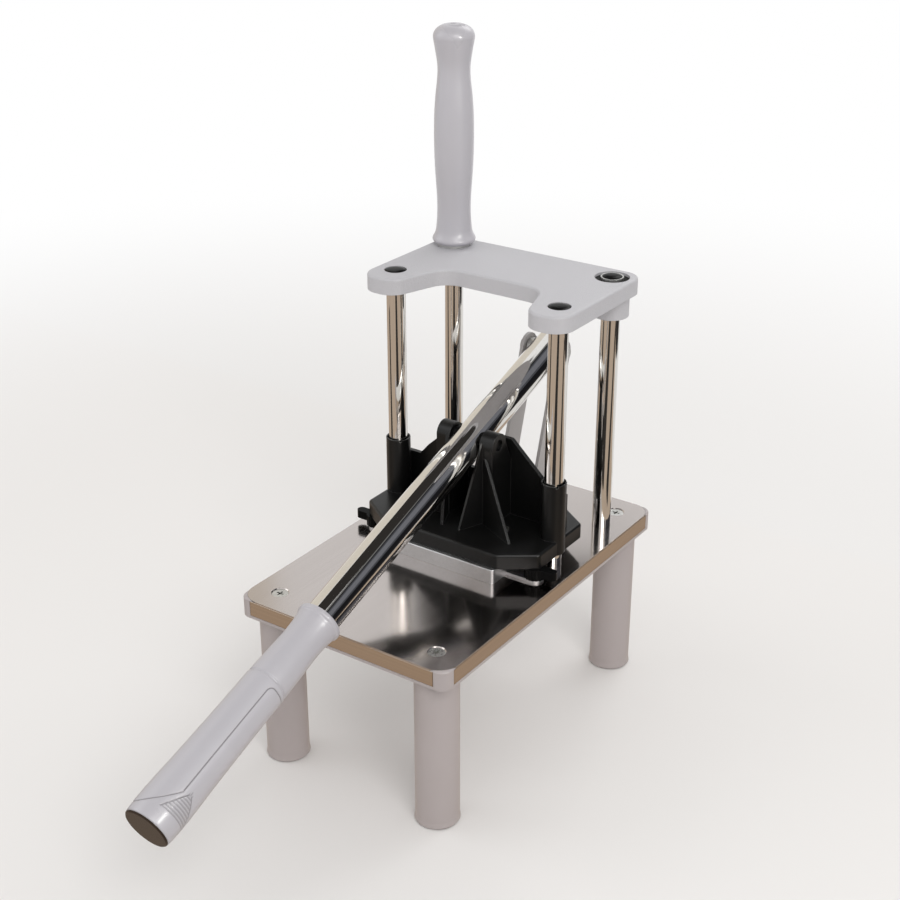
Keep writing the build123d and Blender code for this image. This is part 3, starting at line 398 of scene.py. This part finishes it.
# Grip: turned around the lever's axis, with the mould's relief cut into its skin.
# Lengths are in millimetres. Distances run from the lever's pivot towards the user.
# Angles are in degrees and run from the top towards +X.
grip = {
    "slopeDegrees": 19.7,
    "sag": 1.8,  # how far the grip's middle is below the pivot
    "boreRadius": 14.0,
    "stations": [  # distance and radius of the skin
        (213.5, 17.4),
        (214.3, 18.2),
        (217.0, 18.2),
        (218.3, 17.2),
        (221.0, 16.7),
        (225.0, 16.1),
        (232.0, 15.6),
        (240.0, 15.5),
        (250.0, 15.8),
        (262.0, 16.2),
        (278.8, 16.6),
        (279.6, 16.0),
        (281.0, 16.0),
        (281.8, 16.8),
        (296.0, 16.95),
        (322.0, 17.25),
        (350.0, 17.8),
        (372.0, 18.4),
        (386.0, 18.9),
        (402.0, 19.0),
        (409.5, 18.7),
        (413.2, 18.4),
        (414.2, 18.15),
    ],
    "capRadius": 18.02,
    "capSeat": 412.4,
    "columns": 360,
    "sectors": 20,  # a divisor of the columns
    "mergeDistance": 0.01,
    "coarseStep": 2.0,
    "fineStep": 0.32,
    # rows of the mesh are close together here
    "fineStretches": [(213.4, 223.5), (277.4, 293.5), (381.9, 409.0)],
}
relief = {
    "mirrorAngle": 139.0,  # the relief is the same on both sides of this angle
    "seamAngle": 47.6,
    "seamOverlap": 1.0,  # how far the band's edge runs past the seam, in degrees
    "seamStart": 285.4,
    "seamCorner": 5.0,
    "bandEnd": 407.0,  # where the band's edge comes nearest to the cap
    "bandBend": 0.0028,
    "bandReach": 90.0,  # degrees from there to where the edge meets the seam
    "panelTip": (65.9, 381.9),
    "panelLeft": (28.9, 401.9),
    "panelRight": (124.0, 401.3),
    "panelMargin": (2.0, 1.0),  # its outline is looked for this far before and after it
    "ribPitch": 2.3,
    "ribDepth": 0.32,
    "ribFade": 0.8,
    "lineDepth": 0.55,
    "lineWidth": 0.40,
    "skinRadius": 18.3,
}
skinArc = math.radians(relief["skinRadius"])  # millimetres of skin in one degree


def smoothRadius(distance):
    stations = grip["stations"]
    last = len(stations) - 1
    index = 0
    while index < last - 1 and stations[index + 1][0] < distance:
        index += 1
    before = stations[max(index - 1, 0)]
    low, high = stations[index], stations[index + 1]
    after = stations[min(index + 2, last)]
    span = high[0] - low[0]
    share = min(max((distance - low[0]) / span, 0.0), 1.0)
    lowSlope = (high[1] - before[1]) / (high[0] - before[0]) * span
    highSlope = (after[1] - low[1]) / (after[0] - low[0]) * span
    square, cube = share**2, share**3
    return (
        (2 * cube - 3 * square + 1) * low[1]
        + (cube - 2 * square + share) * lowSlope
        + (3 * square - 2 * cube) * high[1]
        + (cube - square) * highSlope
    )


def groove(offset):
    return relief["lineDepth"] * math.exp(-((offset / relief["lineWidth"]) ** 2))


def lineOffset(point, start, end):
    along = end - start
    share = min(max((point - start).dot(along) / along.length_squared, 0.0), 1.0)
    return (point - start - share * along).length


# the line round the palm band: a seam with a rounded corner, then the band's curved end
def bandCut(distance, folded):
    bend, end = relief["bandBend"], relief["bandEnd"]
    if distance < end - bend * relief["bandReach"] ** 2:
        corner = relief["seamCorner"]
        across = corner - (folded - relief["seamAngle"]) * skinArc
        ahead = relief["seamStart"] + corner - distance
        outside = math.hypot(max(across, 0.0), max(ahead, 0.0))
        return groove(min(max(across, ahead), 0.0) + outside - corner)
    if folded < relief["seamAngle"] + relief["seamOverlap"]:
        lapse = folded - relief["mirrorAngle"] + 180.0
        steep = 2 * bend * lapse / skinArc
        return groove((distance - end + bend * lapse**2) / math.hypot(1.0, steep))
    return 0.0


# the three-cornered panel: two lines from its tip, and ribs between them
def panelCut(distance, folded):
    tip, left, right = (
        Vector((relief[corner][0] * skinArc, relief[corner][1]))
        for corner in ("panelTip", "panelLeft", "panelRight")
    )
    point = Vector((folded * skinArc, distance))
    before, after = relief["panelMargin"]
    depth = 0.0
    if tip.y - before < distance < left.y + after:
        depth = max(groove(lineOffset(point, tip, left)), groove(lineOffset(point, tip, right)))
    if tip.y < distance < left.y:
        drop = (distance - tip.y) / (left.y - tip.y)
        leftSide = tip.x + (left.x - tip.x) * drop
        rightSide = tip.x + (right.x - tip.x) * drop
        inside = min(point.x - leftSide, rightSide - point.x)
        wave = 0.5 - 0.5 * math.cos(2 * math.pi * (distance - tip.y) / relief["ribPitch"])
        fade = min(max(inside / relief["ribFade"], 0.0), 1.0)
        depth = max(depth, relief["ribDepth"] * wave * fade)
    return depth


# how deep the skin is cut, in millimetres, at one distance and angle
def reliefDepth(distance, angle):
    turned = (angle - relief["mirrorAngle"] + 180.0) % 360.0 - 180.0
    folded = relief["mirrorAngle"] - abs(turned)
    return max(bandCut(distance, folded), panelCut(distance, folded))


def gripDistances():
    distance = grip["stations"][0][0]
    end = grip["stations"][-1][0]
    while distance < end:
        yield distance
        fine = any(low <= distance < high for low, high in grip["fineStretches"])
        distance += grip["fineStep"] if fine else grip["coarseStep"]
    yield end


# half of the grip's section as distances and radii, from the bore by the skin to the cap's seat
def gripSection():
    distances = list(gripDistances())
    yield distances[0], grip["boreRadius"]
    for distance in distances:
        yield distance, smoothRadius(distance)
    yield distances[-1], grip["capRadius"]
    yield grip["capSeat"], grip["capRadius"]
    yield grip["capSeat"], grip["boreRadius"]


def addGrip():
    joints = frame["record"]["behaviour"]["joints"]
    pivot = Vector(next(row["pos_m"] for row in joints if row["name"] == "lever_pivot"))
    slope = math.radians(grip["slopeDegrees"])
    along = Vector((0.0, -math.cos(slope), -math.sin(slope)))
    upward = Vector((0.0, -math.sin(slope), math.cos(slope)))
    middle = pivot - grip["sag"] * mm * upward
    bm = bmesh.new()
    section = [
        bm.verts.new(middle + distance * mm * along + radius * mm * upward)
        for distance, radius in gripSection()
    ]
    edges = [bm.edges.new(pair) for pair in zip(section, section[1:] + section[:1])]
    # one sector is spun, then repeated round the axis
    sectors = grip["sectors"]
    sector = 2 * math.pi / sectors
    turn = {"cent": middle, "axis": -along}
    steps = grip["columns"] // sectors
    bmesh.ops.spin(bm, geom=section + edges, angle=sector, steps=steps, **turn)
    bmesh.ops.spin(
        bm,
        geom=bm.verts[:] + bm.edges[:] + bm.faces[:],
        angle=2 * math.pi - sector,
        steps=sectors - 1,
        use_duplicate=True,
        **turn,
    )
    bmesh.ops.remove_doubles(bm, verts=bm.verts, dist=grip["mergeDistance"] * mm)
    # then the relief is pressed in, and its depth is kept for the material's painted shade in the
    # grooves
    cutLayer = bm.verts.layers.float.new("cut")
    for vertex in bm.verts:
        reach = vertex.co - middle
        distance = reach.dot(along)
        out = (reach - distance * along).normalized()
        depth = reliefDepth(distance / mm, math.degrees(math.atan2(out.x, out.dot(upward))))
        vertex.co -= depth * mm * out
        vertex[cutLayer] = min(depth / relief["lineDepth"], 1.0)
    bmesh.ops.recalc_face_normals(bm, faces=bm.faces)
    mesh = bpy.data.meshes.new("gripSkin")
    bm.to_mesh(mesh)
    bm.free()
    mesh.shade_smooth()
    skin = bpy.data.objects.new("gripSkin", mesh)
    bpy.context.scene.collection.objects.link(skin)
    skin.data.materials.append(finishes["grip_grey_plastic"])
    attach(skin, "lever")
    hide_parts("lever_grip")


addGrip()
print("grip turned")


# Studio
studio = {
    "floorColour": (0.80, 0.79, 0.78),
    "floorRoughness": 0.6,
    "floorSpecular": 0.2,
    "floorSize": (14.0, 14.0),
    "floorNear": 0.55,  # from here outwards the floor fades into the white backdrop
    "floorFar": 1.7,
    "worldLight": (1.0, 0.99, 0.98),
    "worldStrength": 0.66,
    "backdropStrength": 1.0,
}


def addPlane(name, centre, facing, size, material):
    mesh = bpy.data.meshes.new(name)
    bm = bmesh.new()
    bmesh.ops.create_grid(bm, x_segments=1, y_segments=1, size=0.5)
    bmesh.ops.scale(bm, verts=bm.verts, vec=(*size, 1.0))
    turn = Vector(facing).to_track_quat("Z", "Y").to_matrix()
    bmesh.ops.rotate(bm, verts=bm.verts, matrix=turn)
    bmesh.ops.translate(bm, verts=bm.verts, vec=centre)
    bm.to_mesh(mesh)
    bm.free()
    plane = bpy.data.objects.new(name, mesh)
    plane.data.materials.append(material)
    bpy.context.scene.collection.objects.link(plane)
    return plane


# 1 on rays that the camera sees, directly or by way of metal or glass
def seenRays(tree):
    rays = tree.nodes.new("ShaderNodeLightPath")
    camera, glossy, through = (
        rays.outputs[f"Is {kind} Ray"] for kind in ("Camera", "Glossy", "Transmission")
    )
    return mathNode(tree, "MAXIMUM", mathNode(tree, "MAXIMUM", camera, glossy), through)


def floorMaterial():
    material, tree, shader = startMaterial("floorPaint")
    shader.inputs["Base Color"].default_value = (*studio["floorColour"], 1.0)
    shader.inputs["Roughness"].default_value = studio["floorRoughness"]
    shader.inputs["Specular IOR Level"].default_value = studio["floorSpecular"]
    coords = tree.nodes.new("ShaderNodeTexCoord")
    reach = tree.nodes.new("ShaderNodeVectorMath")
    reach.operation = "LENGTH"
    tree.links.new(coords.outputs["Object"], reach.inputs[0])
    reachSpan = (studio["floorNear"], studio["floorFar"])
    fade = rangeNode(tree, reach.outputs["Value"], reachSpan, spans["whole"], smooth=True)
    white = tree.nodes.new("ShaderNodeEmission")
    mix = tree.nodes.new("ShaderNodeMixShader")
    share = mathNode(tree, "MULTIPLY", fade, seenRays(tree))
    tree.links.new(share, mix.inputs[0])
    tree.links.new(shader.outputs[0], mix.inputs[1])
    tree.links.new(white.outputs[0], mix.inputs[2])
    tree.links.new(mix.outputs[0], tree.nodes["Material Output"].inputs["Surface"])
    return material


# Glowing cards that lie, stand and hang around the machine for its polished metal to reflect
tableTone = (0.52, 0.415, 0.325)
darkTone = (0.035, 0.032, 0.030)
smokeTone = (0.075, 0.078, 0.090)
flatCards = {
    "tableCard": {
        "centre": (0.0, -0.575, 1 * mm),
        "facing": (0.0, 0.0, 1.0),
        "size": (2.4, 2.05),
        "tone": tableTone,
    },
    "overheadCard": {
        "centre": (-0.125, -0.1, 1.6),
        "facing": (0.0, 0.0, -1.0),
        "size": (1.35, 1.3),
        "tone": darkTone,
    },
    "glintCard": {
        "centre": (1.31, -0.37, 0.90),
        "facing": (-0.855, 0.246, -0.452),
        "size": (0.25, 0.25),
        "tone": (50.0, 50.0, 48.0),
        "maxDepth": 1.5,  # left out of a reflection of a reflection
    },
}
# each lies on the table and runs outwards from the machine
floorStripes = {
    "frontStripe": {"toward": (0.57, -0.82), "near": 0.34, "far": 1.1, "width": 0.34},
    "leftStripe": {"toward": (-0.82, -0.57), "near": 0.40, "far": 1.0, "width": 0.22},
    "rightStripe": {"toward": (0.98, 0.20), "near": 0.44, "far": 1.0, "width": 0.20},
}
stripeHeight = 2 * mm
# each has bands one above the other: lower edge and tone
standingCards = {
    "sideCard": {
        "toward": (0.77, 0.63),
        "away": 0.9,
        "width": 1.5,
        "bands": [
            (0.004, darkTone),
            (0.12, (0.012, 0.012, 0.014)),
            (0.50, smokeTone),
            (0.68, (0.18, 0.185, 0.21)),
            (1.29, smokeTone),
            (1.60, (0.020, 0.020, 0.022)),
            (1.95, (0.20, 0.20, 0.20)),
            (2.35, darkTone),
        ],
        "top": 2.50,
    },
    "backCard": {
        "toward": (-0.487, 0.873),
        "away": 1.55,
        "width": 0.46,
        "bands": [(1.03, darkTone)],
        "top": 2.0,
    },
    "leftCard": {
        "toward": (-0.96, 0.28),
        "away": 1.6,
        "width": 1.6,
        "bands": [(0.05, (0.80, 0.745, 0.66))],
        "top": 2.7,
    },
}


def addCard(name, centre, facing, size, tone, maxDepth=None):
    material = bpy.data.materials.new(name)
    material.use_nodes = True
    tree = material.node_tree
    tree.nodes.clear()
    glow = tree.nodes.new("ShaderNodeEmission")
    glow.inputs["Color"].default_value = (*tone, 1.0)
    if maxDepth is not None:
        rays = tree.nodes.new("ShaderNodeLightPath")
        first = mathNode(tree, "LESS_THAN", rays.outputs["Ray Depth"], maxDepth)
        tree.links.new(first, glow.inputs["Strength"])
    output = tree.nodes.new("ShaderNodeOutputMaterial")
    tree.links.new(glow.outputs[0], output.inputs["Surface"])
    card = addPlane(name, centre, facing, size, material)
    card.visible_camera = False
    card.visible_diffuse = False
    card.visible_shadow = False
    return card


def addStripe(name, stripe):
    toward = Vector((*stripe["toward"], 0.0)).normalized()
    middle = toward * (stripe["near"] + stripe["far"]) / 2
    size = (stripe["width"], stripe["far"] - stripe["near"])
    card = addCard(name, (0.0, 0.0, 0.0), (0.0, 0.0, 1.0), size, darkTone)
    turn = Matrix.Rotation(math.atan2(-toward.x, toward.y), 4, "Z")
    card.data.transform(Matrix.Translation((middle.x, middle.y, stripeHeight)) @ turn)


def addStandingCard(name, card):
    facing = -Vector((*card["toward"], 0.0)).normalized()
    place = -card["away"] * facing
    bands = card["bands"]
    edges = [low for low, tone in bands] + [card["top"]]
    for index, (low, tone) in enumerate(bands):
        high = edges[index + 1]
        centre = (place.x, place.y, (low + high) / 2)
        label = f"{name}{index}" if len(bands) > 1 else name
        addCard(label, centre, facing, (card["width"], high - low), tone)


def addCards():
    for name, card in flatCards.items():
        addCard(name, **card)
    for name, stripe in floorStripes.items():
        addStripe(name, stripe)
    for name, card in standingCards.items():
        addStandingCard(name, card)


# Lamps
lamps = {
    "keyLamp": {
        "place": (1.6, -1.3, 1.9),
        "target": (0.0, -0.05, 0.25),
        "size": (1.3, 1.3),
        "power": 26.0,
        "colour": (1.0, 0.985, 0.97),
    },
    "fillLamp": {
        "place": (-1.9, -0.9, 1.5),
        "target": (0.0, -0.05, 0.25),
        "size": (1.6, 1.6),
        "power": 9.0,
        "colour": (0.98, 0.985, 1.0),
    },
    "backLamp": {
        "place": (0.2, 1.9, 1.9),
        "target": (0.0, 0.0, 0.3),
        "size": (1.8, 1.0),
        "power": 16.0,
        "colour": (1.0, 1.0, 1.0),
    },
}


def addLamp(name, setup):
    data = bpy.data.lights.new(name, "AREA")
    data.shape = "RECTANGLE"
    data.size, data.size_y = setup["size"]
    data.energy = setup["power"]
    data.color = setup["colour"]
    lamp = bpy.data.objects.new(name, data)
    lamp.location = setup["place"]
    aim = Vector(setup["target"]) - Vector(setup["place"])
    lamp.rotation_euler = aim.to_track_quat("-Z", "Y").to_euler()
    bpy.context.scene.collection.objects.link(lamp)


def setWorld():
    world = bpy.data.worlds.new("studio")
    bpy.context.scene.world = world
    world.use_nodes = True
    tree = world.node_tree
    lit = tree.nodes["Background"]
    lit.inputs["Color"].default_value = (*studio["worldLight"], 1.0)
    lit.inputs["Strength"].default_value = studio["worldStrength"]
    seen = tree.nodes.new("ShaderNodeBackground")
    seen.inputs["Color"].default_value = (1.0, 1.0, 1.0, 1.0)
    seen.inputs["Strength"].default_value = studio["backdropStrength"]
    mix = tree.nodes.new("ShaderNodeMixShader")
    tree.links.new(seenRays(tree), mix.inputs[0])
    tree.links.new(lit.outputs[0], mix.inputs[1])
    tree.links.new(seen.outputs[0], mix.inputs[2])
    tree.links.new(mix.outputs[0], tree.nodes["World Output"].inputs["Surface"])


addPlane("floor", (0.0, 0.0, 0.0), (0.0, 0.0, 1.0), studio["floorSize"], floorMaterial())
addCards()
setWorld()
for lampName, lampSetup in lamps.items():
    addLamp(lampName, lampSetup)
print("studio set with", len(lamps), "lamps")


# Camera
cameraSetup = {
    "place": (0.64026, -0.93233, 0.77893),
    "headingDegrees": 34.734,  # turned left from +Y
    "tiltDegrees": 25.249,  # looking down
    "rollDegrees": 0.092,
    "lens": 61.58,
    "sensor": 36.0,
    "clipEnd": 50.0,
}


def addCamera():
    heading = math.radians(cameraSetup["headingDegrees"])
    tilt = math.radians(cameraSetup["tiltDegrees"])
    roll = math.radians(cameraSetup["rollDegrees"])
    forward = Vector(
        (-math.sin(heading) * math.cos(tilt), math.cos(heading) * math.cos(tilt), -math.sin(tilt))
    )
    level = Vector((math.cos(heading), math.sin(heading), 0.0))
    upward = level.cross(forward)
    right = math.cos(roll) * level - math.sin(roll) * upward
    top = math.sin(roll) * level + math.cos(roll) * upward
    turn = Matrix((right, top, -forward)).transposed()
    data = bpy.data.cameras.new("camera")
    data.lens = cameraSetup["lens"]
    data.sensor_width = cameraSetup["sensor"]
    data.clip_end = cameraSetup["clipEnd"]
    camera = bpy.data.objects.new("camera", data)
    camera.matrix_world = Matrix.Translation(cameraSetup["place"]) @ turn.to_4x4()
    bpy.context.scene.collection.objects.link(camera)
    bpy.context.scene.camera = camera


addCamera()
bpy.context.scene.view_settings.view_transform = "Standard"
print("camera ready")
